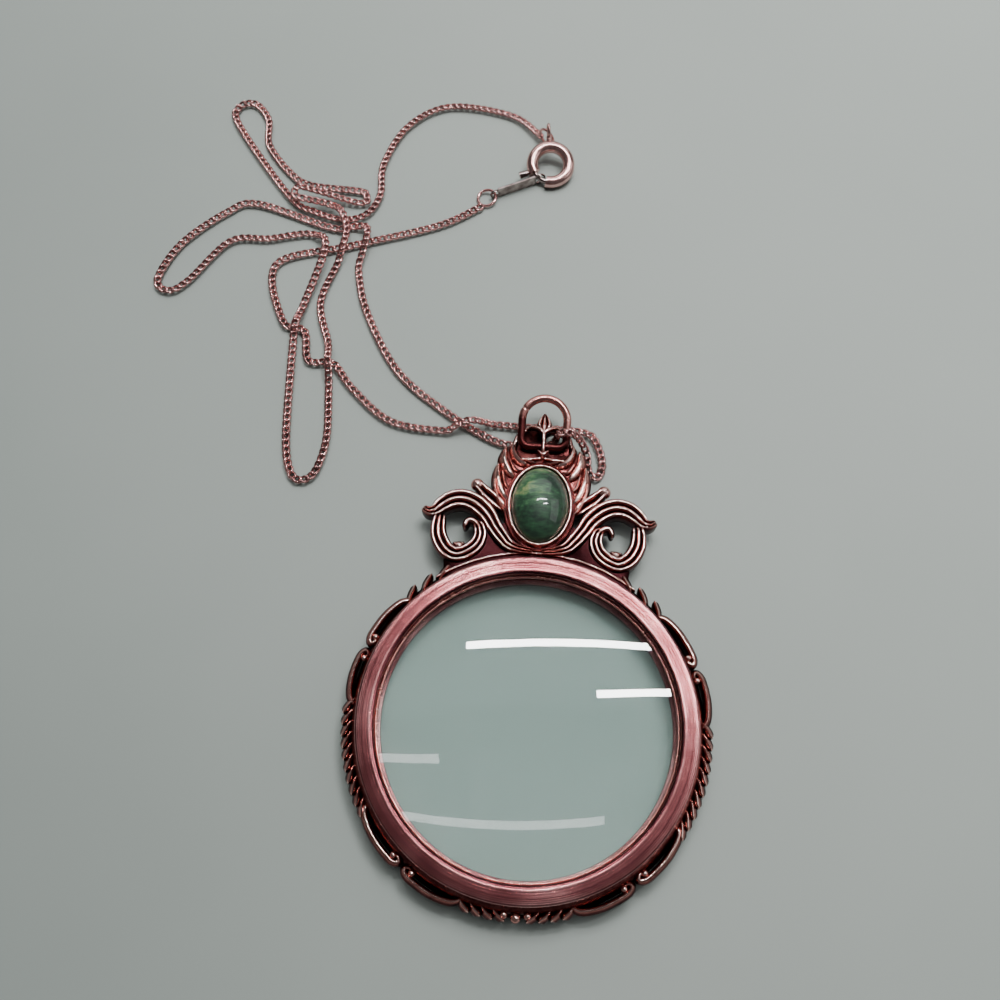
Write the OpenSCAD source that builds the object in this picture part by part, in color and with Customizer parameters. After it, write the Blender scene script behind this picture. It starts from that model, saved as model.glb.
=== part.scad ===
// Magnifier pendant on a fine curb chain, lying on its back.
// Z = 0 is the surface it lies on, Y runs from the lens centre to the crown.

/* [Lens] */
// Diameter of the lens
lens_d = 41; // [30:0.1:50]
// Thickness of the lens at its edge
lens_edge = 2.6; // [1.5:0.1:3]
// Height of each dome of the lens above its edge
lens_dome = 1.4; // [1:0.1:2]
// Radial clearance round the lens
lens_gap = 0.1; // [0.05:0.05:0.3]

/* [Bezel] */
// Radial width of the turned bezel from its bore to its outer edge
bezel_w = 2.55; // [2:0.05:3.4]
// Height of the bezel
bezel_h = 6; // [5.8:0.1:8]
// Width of the inner chamfer of the front face
bezel_chamfer = 0.2; // [0.2:0.05:0.6]
// Radial depth of the groove that holds the casting
groove_d = 0.6; // [0.4:0.05:0.9]
// Width of the ledge that carries the lens
ledge_w = 0.8; // [0.5:0.1:1.5]
// Wire diameter of the retaining ring in front of the lens
retainer_wire = 0.4; // [0.4:0.05:0.8]
// Opening of the retaining ring, in degrees
retainer_split = 4; // [2:1:12]

/* [Casting] */
// Height of the casting's back above the surface
cast_back = 1.7; // [1.6:0.05:2]
// Height of the hoop that grips the bezel
hoop_h = 2.1; // [1.6:0.1:2.6]
// Radial width of the hoop
hoop_w = 1.3; // [1:0.05:2]
// Radial width of the openwork border outside the hoop
border_w = 1.5; // [1.2:0.05:2]
// Height of the border's strands above the casting's back
border_h = 2.3; // [1.6:0.1:3]
// Width of a strand of the border
strand_w = 1.05; // [0.8:0.05:1.2]
// Radial width of the flange that backs the border
flange_w = 0.55; // [0.3:0.05:0.8]
// Clearance between pieces that sit on each other
seat_gap = 0.1; // [0.05:0.01:0.2]

/* [Crown] */
// Reach of each scrolled arm from the pendant's axis
arm_reach = 17.2; // [15:0.1:20]
// Rise of the arms' crest above the hoop
arm_rise = 8.15; // [7:0.05:9]
// Greatest width of an arm
arm_w = 3.1; // [2.4:0.1:3.4]
// Height of the arms above the casting's back
arm_h = 2.6; // [2:0.1:3]
// Width of a volute's band
volute_w = 2.5; // [2:0.1:2.7]
// Thickness of the web between the hoop and the scrolls
web_t = 1.1; // [0.8:0.1:1.6]
// Half width of the crown's top, over its outer leaves
top_reach = 7; // [6.4:0.1:8]
// Rise from the stone's centre to the finial's tip
top_rise = 15.3; // [14.8:0.1:17]
// Height of the stem that bridges the bail, above the casting's back
stem_h = 2.6; // [2.5:0.1:3]

/* [Stone] */
// Width of the oval stone
stone_w = 8.5; // [7:0.1:9.5]
// Length of the oval stone
stone_l = 11.8; // [9:0.1:13]
// Height of the stone's dome above its straight edge
stone_dome = 2.7; // [1.5:0.1:4]
// Width of the rim round the stone
rim_w = 0.5; // [0.4:0.05:1]
// Height of the rim above the casting's back
rim_h = 2.9; // [2.2:0.1:3.4]

/* [Bail] */
// Outer width of the bail's stirrup
bail_d = 8.1; // [7.8:0.05:8.6]
// Outer length of the bail's stirrup
bail_l = 8.8; // [8.4:0.1:10]
// Wire diameter of the bail
bail_wire = 1.24; // [0.9:0.02:1.3]
// Angle at which the bail rises from the crown
bail_tilt = 14; // [12:1:18]

/* [Chain] */
// Width of the chain
chain_w = 1.4; // [1:0.05:1.4]

/* [Clasp] */
// Outer diameter of the spring ring
clasp_d = 8.3; // [7:0.1:9]
// Diameter of the spring ring's tube
clasp_tube = 2; // [1.8:0.05:2.2]
// Wall of the spring ring's tube
clasp_wall = 0.35; // [0.25:0.05:0.4]
// Opening of the spring ring, in degrees
clasp_mouth = 46; // [40:1:56]
// Travel of the latch, in degrees
latch_travel = 46; // [40:1:56]
// Wire diameter of the latch
latch_wire = 0.9; // [0.7:0.05:1]
// Length of the latch's thumb knob
knob_l = 1.5; // [1:0.1:2]
// Outer diameter of the eye on the spring ring
eye_d = 2.7; // [2.4:0.1:3]
// Length of the tag that the clasp takes
tag_l = 9.2; // [8:0.1:11]
// Height of the tag, which stands on edge
tag_w = 2; // [1.6:0.1:2.2]
// Thickness of the tag
tag_t = 0.36; // [0.3:0.02:0.5]
// Outer diameter of the small jump rings at the chain's ends
jump_d = 3.6; // [3.2:0.1:4]
// Wire diameter of the small jump rings
jump_wire = 0.5; // [0.4:0.05:0.6]

/* [Hidden] */
$fn = 96;
copper = [0.62, 0.38, 0.34];
rose = [0.75, 0.5, 0.46];
steel = [0.7, 0.68, 0.66];

// Ring and bezel, from the lens outwards
lens_r = lens_d / 2;
bore_r = lens_r + lens_gap;
bezel_r = bore_r + bezel_w;
groove_r = bezel_r - groove_d;
hoop_in = groove_r + seat_gap;
hoop_out = hoop_in + hoop_w;
border_r = hoop_out + border_w;
hoop_top = cast_back + hoop_h;
lens_low = 0.55 + lens_dome;
lens_face = lens_low + lens_edge;
lens_slope = 2 * lens_r * lens_dome / (lens_r * lens_r + lens_dome * lens_dome);
lens_seat = lens_low - seat_gap - ledge_w * lens_slope;

// Crown, from the hoop upwards
rim_foot = 1.25;
stone_gap = 0.1;
rim_in = [stone_w / 2 + stone_gap, stone_l / 2 + stone_gap];
rim_out = [for (r = rim_in) r + rim_w];
stone_y = hoop_out + rim_foot + rim_out[1];
seat_z = cast_back + 0.9;
bail_r = (bail_d - bail_wire) / 2;
stem_low = cast_back + stem_h - 0.6;
bail_low = stem_low - 0.16 - bail_wire / 2;

// A point of the crown's top: x and y as shares of its reach and its rise above the stone's centre
function top_at(u, v) = [u * top_reach, stone_y + v * top_rise];

// A point of a scroll: x and y as shares of the arm's reach and of the arm's rise above the hoop
function arm_at(u, v) = [u * arm_reach, hoop_out + v * arm_rise];

// A point of the border: degrees from the crown, and a share of the border's width beyond the hoop
function border_at(a, v) = (hoop_out + v * border_w) * [sin(a), cos(a)];

// Point at t between b and c on the smooth curve through a, b, c and d
function between(a, b, c, d, t) =
    ((2 * b) + (c - a) * t + (2 * a - 5 * b + 4 * c - d) * t * t + (3 * b - a - 3 * c + d) * t * t * t) / 2;

// Smooth curve through the rows p, with n steps from row to row
function smooth(p, n) = let (m = len(p) - 1)
    [for (i = [0:m - 1], k = [0:n - 1])
        between(p[max(i - 1, 0)], p[i], p[i + 1], p[min(i + 2, m)], k / n), p[m]];

// Height of a cast piece's underside: each kind has its own, so that no two share a plane
function under(k) = cast_back + 0.03 * k;

function unit(v) = v / norm(v);

// Direction of the path p at row i
function heading(p, i) = unit(p[min(i + 1, len(p) - 1)] - p[max(i - 1, 0)]);

// Faces of a solid of rows of m points, closed by its first and its last row.
// The points of a row turn right-handed about the way the rows go.
function skin(rows, m) = concat(
    [[for (j = [0:m - 1]) j]],
    [for (i = [0:rows - 2], j = [0:m - 1])
        [i * m + j, (i + 1) * m + j, (i + 1) * m + (j + 1) % m, i * m + (j + 1) % m]],
    [[for (j = [0:m - 1]) (rows - 1) * m + m - 1 - j]]);

// Cast band with round ridges on top. A row holds x, y, half width, underside and top.
module band(rows, ridges = 1, steps = 3, valley = 0.45) {
    path = smooth(rows, steps);
    flat = [for (r = path) [r[0], r[1]]];
    n = ridges * 3;
    tops = [for (k = [0:n]) [1 - 2 * k / n, abs(sin(60 * k)) > 0.5 ? 1 : 0]];
    points = [for (i = [0:len(path) - 1]) let (
        r = path[i],
        d = heading(flat, i),
        side = [-d[1], d[0]],
        crest = min(valley, 0.6 * (r[4] - r[3])))
        each concat(
            [for (s = [-0.92, 0.92]) [r[0] + side[0] * r[2] * s, r[1] + side[1] * r[2] * s, r[3]]],
            [for (t = tops) [r[0] + side[0] * r[2] * t[0], r[1] + side[1] * r[2] * t[0],
                             r[4] - crest * (1 - t[1])]])];
    polyhedron(points, skin(len(path), n + 3));
}

// The same piece on both sides of the pendant's axis
module both() {
    children();
    mirror([1, 0, 0]) children();
}

module bezel() color(copper) rotate_extrude() polygon([
    [bore_r - ledge_w, 0.3],
    [bore_r - ledge_w + 0.3, 0],
    [groove_r - 0.3, 0],
    [groove_r + groove_d * 0.8, cast_back - seat_gap - 0.6],
    [groove_r + groove_d * 0.8, cast_back - seat_gap],
    [groove_r, cast_back - seat_gap],
    [groove_r, hoop_top + seat_gap],
    [bezel_r, hoop_top + seat_gap],
    [bezel_r, bezel_h - 0.2],
    [bezel_r - 0.2, bezel_h],
    [bore_r + bezel_chamfer, bezel_h],
    [bore_r, bezel_h - bezel_chamfer],
    [bore_r, lens_seat],
    [bore_r - ledge_w, lens_seat]]);

// Outline of a shallow dome of radius r and height h, from its edge to its axis
function dome(r, h, n) = let (bulge = (r * r + h * h) / (2 * h), reach = asin(r / bulge))
    [for (k = [0:n]) let (a = reach * (1 - k / n)) [bulge * sin(a), bulge * (cos(a) - 1) + h]];

// Two spherical faces on a straight edge
module lens() color([0.8, 0.9, 0.88, 0.35]) {
    face = dome(lens_r, lens_dome, 10);
    rotate_extrude() polygon(concat(
        [for (p = face) [p[0], lens_face + p[1]]],
        [for (k = [0:10]) [face[10 - k][0], lens_low - face[10 - k][1]]]));
}

// Sprung wire ring that keeps the lens in, open at the lower left
module lens_retainer() color(rose) {
    wire = retainer_wire / 2;
    rotate([0, 0, 253 + retainer_split]) rotate_extrude(angle = 360 - retainer_split)
        translate([bore_r - wire - 0.03, lens_face + wire * (1 + 2 * lens_slope) + 0.05])
            circle(wire, $fn = 24);
}

// Leaf of the border: from a root by the hoop to a rounded tip further round
module border_leaf(a, turn, reach = 0.72, fat = 0.42) {
    root = border_at(a, -0.1);
    tip = border_at(a + turn, reach);
    translate([0, 0, under(2)]) hull() {
        translate(root) cylinder(r1 = fat, r2 = fat * 0.5, h = hoop_h - 0.3, $fn = 6);
        translate(tip) cylinder(r = fat, h = border_h - 0.3, $fn = 7);
        translate(tip) cylinder(r = fat * 0.5, h = border_h, $fn = 5);
    }
}

module bead(a, v, r) {
    c = border_at(a, v);
    translate([c[0], c[1], under(3)]) hull() {
        cylinder(r = r, h = border_h - r * 0.5, $fn = 8);
        cylinder(r = r * 0.5, h = border_h, $fn = 8);
    }
}

// C-shaped strand of the border with a curled inner end. It runs from the angle open to the angle curl.
module c_strand(open, curl) {
    s = sign(curl - open);
    rows = [[open, -0.1], [open + s * 3, 0.45], [open + (curl - open) * 0.45, 0.73], [curl - s * 4.5, 0.73],
            [curl - s * 1.6, 0.5], [curl - s * 0.9, 0.05]];
    band([for (r = rows) let (p = border_at(r[0], r[1]))
        [p[0], p[1], strand_w / 2, under(1), cast_back + border_h]], 1, 2, 0.35);
    bead(curl - s * 3.6, 0.2, 0.42);
}

module border() {
    c_strands = [[47, 68], [88, 68.5], [120, 141.5], [163, 142]];
    for (c = c_strands) c_strand(c[0], c[1]);
    for (a = [36, 42.5, 49]) border_leaf(a, -5, 0.75, 0.46);
    for (a = [86.2:4.6:118.4]) border_leaf(a, 4.4, 0.7, 0.52);
    for (a = [162.4, 166.8, 171.2]) border_leaf(a, 3, 0.6, 0.5);
    bead(176.4, 0.15, 0.5);
}

module hoop() rotate_extrude() polygon([
    [hoop_in, cast_back], [hoop_out + flange_w, cast_back],
    [hoop_out + flange_w, cast_back + 0.6], [hoop_out, cast_back + 0.9],
    [hoop_out, hoop_top - 0.4], [hoop_out - 0.4, hoop_top], [hoop_in, hoop_top]]);

// S-shaped arm of three ridges, from the stone's foot over its crest to the upturned tip
module arm() {
    rows = [[0.03, 0.08, 0.34], [0.13, 0.1, 0.42], [0.24, 0.17, 0.6], [0.31, 0.32, 0.72], [0.38, 0.52, 0.8],
            [0.44, 0.72, 0.9], [0.54, 0.91, 0.97], [0.65, 1, 1], [0.75, 0.97, 0.96], [0.83, 0.86, 0.84],
            [0.89, 0.74, 0.62], [0.95, 0.72, 0.48], [1, 0.8, 0.3]];
    band([for (r = rows) let (p = arm_at(r[0], r[1]))
        [p[0], p[1], r[2] * arm_w / 2, under(4), cast_back + arm_h]], 3, 2, 0.5);
}

// Volute under the arm, with three ridges, then the bud that it curls round and the lump in its eye
module volute() {
    rows = [[0.835, 0.72, 0.7], [0.85, 0.5, 0.9], [0.84, 0.28, 1], [0.78, 0.05, 1], [0.69, -0.06, 0.95],
            [0.595, 0, 0.92], [0.52, 0.14, 0.9], [0.49, 0.32, 0.84], [0.505, 0.48, 0.72], [0.55, 0.58, 0.5]];
    band([for (r = rows) let (p = arm_at(r[0], r[1]))
        [p[0], p[1], r[2] * volute_w / 2, under(5), cast_back + arm_h - 0.3]], 3, 2, 0.5);
    bud = [[0.5, 0.5, 0.42], [0.56, 0.6, 0.46], [0.61, 0.58, 0.42], [0.63, 0.47, 0.3]];
    band([for (r = bud) let (p = arm_at(r[0], r[1]))
        [p[0], p[1], r[2] * volute_w / 2, under(6), cast_back + arm_h - 0.6]], 1, 2, 0.5);
    lump = arm_at(0.665, 0.13);
    translate([lump[0], lump[1], under(7)]) cylinder(r1 = 0.85, r2 = 0.5, h = arm_h - 1.2, $fn = 7);
}

// Horn between the stone and the arm: two raised edges with a sunk line between them, and a round tip
module horn() {
    rows = [[0.74, -0.06, 0.7], [0.9, 0.02, 1.15], [1.12, 0.1, 1.15], [1.27, 0.165, 0.95], [1.35, 0.2, 0.6]];
    band([for (r = rows) let (p = top_at(r[0], r[1]))
        [p[0], p[1], r[2], under(8), cast_back + 2.05]], 2, 2, 0.6);
    tip = top_at(1.35, 0.2);
    translate([tip[0], tip[1], under(9)]) cylinder(r1 = 1, r2 = 0.6, h = 2.1, $fn = 9);
}

// Blades of leaf that flank the upper half of the stone
module blades() {
    blades = [
        [[0.3, 0.41, 0.45], [0.5, 0.46, 0.85], [0.64, 0.55, 0.8], [0.66, 0.66, 0.3]],
        [[0.56, 0.27, 0.55], [0.74, 0.36, 1], [0.84, 0.48, 0.9], [0.8, 0.61, 0.35]],
        [[0.68, 0.03, 0.6], [0.86, 0.14, 1], [0.95, 0.29, 0.85], [0.94, 0.44, 0.3]]];
    for (k = [0:2]) band([for (r = blades[k]) let (p = top_at(r[0], r[1]))
        [p[0], p[1], r[2], under(12 + k), cast_back + 2.5]], 1, 2, 0.7);
}

// Top of the crown: the lip under the two eyes, their outer walls, and the brows that spring from the stem
module eyes() {
    lip = [[0.03, 0.509, 0.3, 0, 2.1], [0.23, 0.495, 0.3, 0, 2.1], [0.46, 0.49, 0.3, 0, 2.1],
           [0.6, 0.53, 0.3, 0, 1.6]];
    wall = [[0.62, 0.56, 0.5, 0, 1.2], [0.62, 0.67, 0.38, 0, 0.95], [0.54, 0.78, 0.36, 0, 0.95],
            [0.36, 0.845, 0.36, 0, 0.95]];
    brow = [[0, 0.775, 0.4, 1.6, stem_h], [0.12, 0.82, 0.44, 1.3, stem_h - 0.1],
            [0.26, 0.848, 0.42, 0.5, stem_h - 0.7], [0.4, 0.85, 0.34, 0, 0.98]];
    walls = [lip, wall, brow];
    low = [under(1), under(2), under(17)];
    for (k = [0:2]) band([for (r = walls[k]) let (p = top_at(r[0], r[1]))
        [p[0], p[1], r[2], low[k] + r[3], cast_back + r[4]]], 1, 2, 0.25);
}

// Sunk floor of the two eyes, under the bail. The chain comes up through the hole in the right one.
module eye_floor() {
    edge = [[0.6, 0.5], [0.66, 0.62], [0.6, 0.75], [0.4, 0.86], [0.15, 0.85]];
    translate([0, 0, under(-1)]) linear_extrude(bail_low - bail_wire / 2 - 0.16 - under(-1)) difference() {
        polygon([for (s = [-1, 1], k = [0:4]) let (p = edge[s < 0 ? k : 4 - k]) top_at(s * p[0], p[1])]);
        translate(top_at(0.25, 0.752)) scale([1.35, 1.05]) circle(1, $fn = 20);
    }
}

module stem_and_finial() {
    stem = [[0.885, 0.5, 0.6, stem_h - 0.2], [0.8, 0.4, 1.55, stem_h], [0.7, 0.3, 1.6, stem_h],
            [0.6, 0.3, 1.6, stem_h - 0.05], [0.56, 0.4, 0, stem_h - 0.3], [0.5, 0.5, 0, 2]];
    band([for (r = stem) let (p = top_at(0, r[0]))
        [p[0], p[1], r[1], under(18) + r[2], cast_back + r[3]]], 1, 2, 0.3);
    finial = [[0.8, 0.4, 1.4, stem_h - 0.3], [0.87, 1.15, 0.5, stem_h - 0.3], [0.94, 0.78, 0.45, stem_h - 0.4],
              [1, 0.14, 0.5, stem_h - 0.7]];
    band([for (r = finial) let (p = top_at(0, r[0]))
        [p[0], p[1], r[1], cast_back + r[2], cast_back + r[3]]], 3, 3, 0.4);
}

// Solid of ovals about the stone's centre. A row holds both half axes and a height.
module ovals(rows, sides) {
    points = [for (r = rows, j = [0:sides - 1]) let (a = 360 * j / sides) [r[0] * cos(a), r[1] * sin(a), r[2]]];
    translate([0, stone_y, 0]) polyhedron(points, skin(len(rows), sides));
}

module setting() {
    top = cast_back + rim_h;
    profile = [[0.5, under(0.5)], [0.5, top - 0.9], [0.1, top - 0.7], [0, top - 0.15], [-0.2, top]];
    difference() {
        ovals([for (p = profile) [rim_out[0] + p[0], rim_out[1] + p[0], p[1]]], 36);
        ovals([for (z = [seat_z, top + 1]) [rim_in[0], rim_in[1], z]], 36);
    }
}

// Hole of a web round the stone's seat, a little inside the setting's rim
module stone_hole() translate([0, stone_y]) scale([1, rim_out[1] / rim_out[0]])
    circle(rim_out[0] - 0.3, $fn = 40);

// Web that ties the scrolls, the setting and the hoop together
module web() {
    foot = hoop_out - 0.5;
    translate([0, 0, under(19)]) linear_extrude(web_t) difference() {
        polygon([[-0.76 * arm_reach, foot * 0.8], arm_at(-0.79, 0.02), arm_at(-0.66, -0.1), arm_at(-0.54, 0.05),
                 arm_at(-0.46, 0.4), arm_at(-0.3, 0.6), arm_at(0.3, 0.6), arm_at(0.46, 0.4), arm_at(0.54, 0.05),
                 arm_at(0.66, -0.1), arm_at(0.79, 0.02), [0.76 * arm_reach, foot * 0.8]]);
        circle(foot, $fn = 72);
        stone_hole();
    }
    upper = [[0.6, -0.05], [0.78, 0.06], [0.94, 0.26], [0.93, 0.42], [0.78, 0.58], [0.6, 0.57], [0.2, 0.555]];
    translate([0, 0, under(20)]) linear_extrude(1) difference() {
        polygon([for (s = [-1, 1], k = [0:6]) let (p = upper[s < 0 ? k : 6 - k]) top_at(s * p[0], p[1])]);
        stone_hole();
    }
}

module casting() color(copper) union() {
    hoop($fn = 72);
    setting();
    web();
    eye_floor();
    stem_and_finial();
    both() {
        border();
        arm();
        volute();
        horn();
        blades();
        eyes();
    }
    bead(180, 0.3, 0.72);
}

// Oval domed stone on a straight edge
module cabochon() color([0.25, 0.5, 0.3]) {
    edge = rim_h - (seat_z - cast_back) - 0.3;
    base = seat_z + 0.05;
    profile = concat([[stone_w / 2, base]],
        [for (p = dome(stone_w / 2, stone_dome, 6)) [max(p[0], 0.2), base + edge + p[1]]]);
    ovals([for (p = profile) [p[0], p[0] * stone_l / stone_w, p[1]]], 48);
}

// Part of a ring of round section about Z between two angles
module arc_of(mid, r, from, to) rotate([0, 0, from]) rotate_extrude(angle = to - from)
    translate([mid, 0]) circle(r, $fn = 32);

// Ring of round wire about Z, with a narrow saw cut at the angle cut
module wire_ring(outer, wire, cut, gap = 0.08) {
    mid = (outer - wire) / 2;
    open = gap / mid * 180 / PI;
    arc_of(mid, wire / 2, cut + open / 2, cut - open / 2 + 360);
}

// Stirrup of round wire. Its lower bar passes under the stem, its cut is at the upper left.
bail_corner = 1.3;
module bail() color(rose) translate([0, stone_y + 0.65 * top_rise, bail_low]) rotate([bail_tilt, 0, 0]) {
    wire = bail_wire / 2;
    leg = bail_l - bail_wire - bail_corner - bail_r;
    cut = 152;
    translate([0, bail_corner + leg, 0]) {
        arc_of(bail_r, wire, 0, cut - 1);
        arc_of(bail_r, wire, cut + 1, 180);
    }
    for (s = [-1, 1]) {
        translate([s * bail_r, bail_corner, 0]) rotate([-90, 0, 0]) cylinder(r = wire, h = leg, $fn = 32);
        translate([s * (bail_r - bail_corner), bail_corner, 0])
            arc_of(bail_corner, wire, s > 0 ? -90 : 180, s > 0 ? 0 : 270);
    }
    translate([bail_corner - bail_r, 0, 0]) rotate([0, 90, 0])
        cylinder(r = wire, h = 2 * (bail_r - bail_corner), $fn = 32);
}

// Spring ring: it leans on the standing jump ring under its eye
clasp_at = [-1.6, 95.7];
clasp_turn = 7;
clasp_r = (clasp_d - clasp_tube) / 2;
eye_off = clasp_d / 2 + 0.5 + eye_d / 2;
clasp_tilt = asin((jump_d + eye_d / 2 - 0.85 - clasp_tube / 2 - jump_wire) / (clasp_r + eye_off));
clasp_z = clasp_tube / 2 + clasp_r * sin(clasp_tilt);
mouth = 229;
latch_gap = 0.1;
hollow_r = clasp_tube / 2 - clasp_wall;
eye_hole = eye_d * 0.3;
knob_at = mouth - clasp_mouth / 2 - 8;

module at_clasp() translate([clasp_at[0], clasp_at[1], clasp_z]) rotate([0, 0, clasp_turn])
    rotate([clasp_tilt, 0, 0]) children();

module clasp_body() color(rose) at_clasp() {
    from = mouth + clasp_mouth / 2;
    to = mouth - clasp_mouth / 2 + 360;
    difference() {
        arc_of(clasp_r, clasp_tube / 2, from, to);
        arc_of(clasp_r, hollow_r, from - 1, from + 14);
        arc_of(clasp_r, hollow_r, to - latch_travel - 50, to + 1);
        // Slot for the knob, along the tube's outer side
        rotate([0, 0, knob_at - latch_travel - 8]) rotate_extrude(angle = latch_travel + 17)
            translate([clasp_r, -0.42]) square([clasp_tube, 0.84]);
    }
    translate([0, clasp_d / 2 + 0.25, 0]) rotate([90, 0, 0])
        cylinder(r = eye_d / 6, h = eye_d * 0.48, center = true);
    translate([0, eye_off, 0]) rotate([0, 90, 0]) rotate_extrude()
        translate([(eye_hole + eye_d / 2) / 2, 0]) circle((eye_d / 2 - eye_hole) / 2, $fn = 24);
}

module clasp_latch() color(steel) at_clasp() {
    arc_of(clasp_r, latch_wire / 2, mouth - clasp_mouth / 2 - 30, mouth + clasp_mouth / 2 + 7);
    rotate([0, 0, knob_at]) translate([clasp_r, 0, 0]) rotate([0, 90, 0]) {
        cylinder(r = 0.32, h = clasp_tube / 2 + knob_l, $fn = 24);
        translate([0, 0, clasp_tube / 2 + 0.1]) cylinder(r1 = 0.5, r2 = 0.62, h = knob_l, $fn = 24);
    }
}

// Flat tag standing on edge: its narrow end has the hole that the latch goes through
tag_turn = 26;
tag_pin = clasp_r * [cos(mouth + clasp_turn), sin(mouth + clasp_turn) * cos(clasp_tilt)] + clasp_at;
tag_pin_z = clasp_z + clasp_r * sin(mouth + clasp_turn) * sin(clasp_tilt);
tag_hole = latch_wire / 2 + 0.3;
tag_low = 0.05;
tag_end = 0.9;
module tag() color(steel) translate([tag_pin[0], tag_pin[1], 0]) rotate([0, 0, 180 + tag_turn])
    rotate([90, 0, 0]) translate([0, 0, -tag_t / 2]) linear_extrude(tag_t) difference() {
        union() {
            translate([0, tag_pin_z]) circle(tag_pin_z - tag_low);
            translate([0, tag_low]) polygon([[0, 0], [tag_l - 1, 0], [tag_l - 1, tag_w], [3.4, tag_w],
                                             [0.8, 2 * (tag_pin_z - tag_low) - 0.15],
                                             [0, 2 * (tag_pin_z - tag_low)]]);
            translate([tag_l - 1, tag_low + tag_w / 2]) circle(tag_w / 2);
        }
        translate([0, tag_pin_z]) circle(tag_hole);
        translate([tag_l - 1, tag_low + tag_end]) circle(jump_wire / 2 + 0.28);
    }

// Small jump ring through the tag's far hole, lying nearly flat
jump_r = (jump_d - jump_wire) / 2;
tag_ring_at = tag_pin + (tag_l - 1 + jump_r) * [cos(180 + tag_turn), sin(180 + tag_turn)];
tag_ring_tilt = 12;
tag_ring_z = tag_low + tag_end - jump_r * sin(tag_ring_tilt);
module tag_ring() color(steel) translate([tag_ring_at[0], tag_ring_at[1], tag_ring_z])
    rotate([0, 0, tag_turn]) rotate([0, -tag_ring_tilt, 0]) wire_ring(jump_d, jump_wire, 100);

// Small jump ring standing under the eye of the spring ring
end_turn = -40;
eye_at = clasp_at + eye_off * cos(clasp_tilt) * [-sin(clasp_turn), cos(clasp_turn)];
end_ring_at = eye_at - jump_r * cos(78) * [cos(end_turn), sin(end_turn)];
module end_ring() color(steel) translate([end_ring_at[0], end_ring_at[1], jump_d / 2 + 0.02])
    rotate([0, 0, end_turn]) rotate([90, 0, 0]) wire_ring(jump_d, jump_wire, 250);

// Route of the chain from the clasp to the tag: x, y and height of its centre.
// It comes up through the bail, over the bail's leg, and goes back under the crown.
low = 0.72;
over = 2.25;
hump = bail_low + 1.95;
chain_route = [
    [end_ring_at[0] - 2.02, end_ring_at[1] + 2.18, 1], [-9, 107, low], [-20, 108.5, low], [-27, 103.5, low],
    [-30.5, 95, low], [-30.4, 88.4, low], [-32.2, 84.2, low], [-36, 82.7, low], [-41.2, 84, low], [-46, 87, low],
    [-57, 101.5, low], [-57.6, 105.6, low], [-54.8, 106.4, low], [-52, 103, low], [-51, 97.5, low],
    [-46.5, 91.8, low], [-42.5, 89.4, low], [-33.8, 88.7, low], [-32.7, 87.5, low], [-33.8, 86.3, low],
    [-43.2, 87.7, over], [-44.6, 87, over], [-44.6, 86, over], [-43.2, 85.4, over + 0.1],
    [-38.8, 85.2, 1.4], [-36.2, 83.2, over + 0.1], [-34.9, 79.5, over], [-35.2, 76.4, over],
    [-36, 73.5, low], [-37.7, 66, low], [-35.4, 58.5, 1.2], [-34.8, 55, over + 0.05], [-34.3, 50.5, low],
    [-33.5, 42, low], [-34.4, 36.5, low], [-36.2, 34.7, low], [-38.2, 35.8, low], [-39.8, 42, low],
    [-41, 58.5, 1.3], [-40.8, 61.2, over + 0.1], [-40.3, 65.5, 1], [-38, 76.1, over + 0.05],
    [-41, 79.4, low], [-48, 78, low], [-54.5, 77, low], [-60, 69, low], [-63, 66.7, low],
    [-65.2, 68.8, low], [-62.5, 76, low], [-56, 82.8, low], [-51, 84.9, low], [-38, 80.9, low],
    [-34.2, 81.4, low], [-31.8, 80.9, 1.6], [-31.4, 78.4, over + 0.1], [-32, 75.6, 1.2], [-32.2, 72.5, low],
    [-30, 65, low], [-24, 54.6, low], [-16, 48, low], [-7.5, 43.2, low], [-2, 42.6, low],
    [0.7, 42.9, 0.75], [1.6, 43.15, 1.5], [1.85, 43.3, 2.7], [2.2, 43.35, hump - 0.5], [3.4, 43.4, hump],
    [4.6, 43.4, hump - 0.5], [5.9, 42.9, 2.4], [6.8, 41.6, 1], [7, 39.6, low], [7.6, 38.3, low],
    [8.7, 38.4, low],
    [9.2, 40.4, low], [8.3, 43.6, low], [6, 45.6, low], [-4, 45.9, low], [-7.6, 46, low],
    [-9.9, 45.9, 1.8], [-11.6, 45.7, over + 0.1], [-13.4, 45.2, 1.8], [-15.8, 44.4, low], [-24, 45.5, low],
    [-30.5, 50.7, low], [-34.2, 55, low], [-38.2, 55.3, low], [-39.6, 60.6, low], [-43.4, 62.3, low],
    [-46, 73, low], [-34, 77.5, low], [-20, 82.5, low], [tag_ring_at[0] - 1.1, tag_ring_at[1] - 2.1, low]];

// Each ring of the tube stands square to the route, turned so that a flat lies underneath
module chain() color(rose) {
    sides = 8;
    r = chain_w / 2 / cos(180 / sides);
    points = [for (i = [0:len(chain_route) - 1]) let (
        d = heading(chain_route, i),
        side = unit(cross(d, [0, 0, 1])),
        up = cross(side, d))
        each [for (j = [0:sides - 1]) let (a = 360 * (j + 0.5) / sides)
            chain_route[i] + r * (cos(a) * up + sin(a) * side)]];
    polyhedron(points, skin(len(chain_route), sides));
}

bezel();
lens();
lens_retainer();
casting();
cabochon();
bail();
chain();
end_ring();
clasp_body();
clasp_latch();
tag();
tag_ring();
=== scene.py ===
import math
import bpy
import numpy as np
from mathutils import Matrix, Vector


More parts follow.
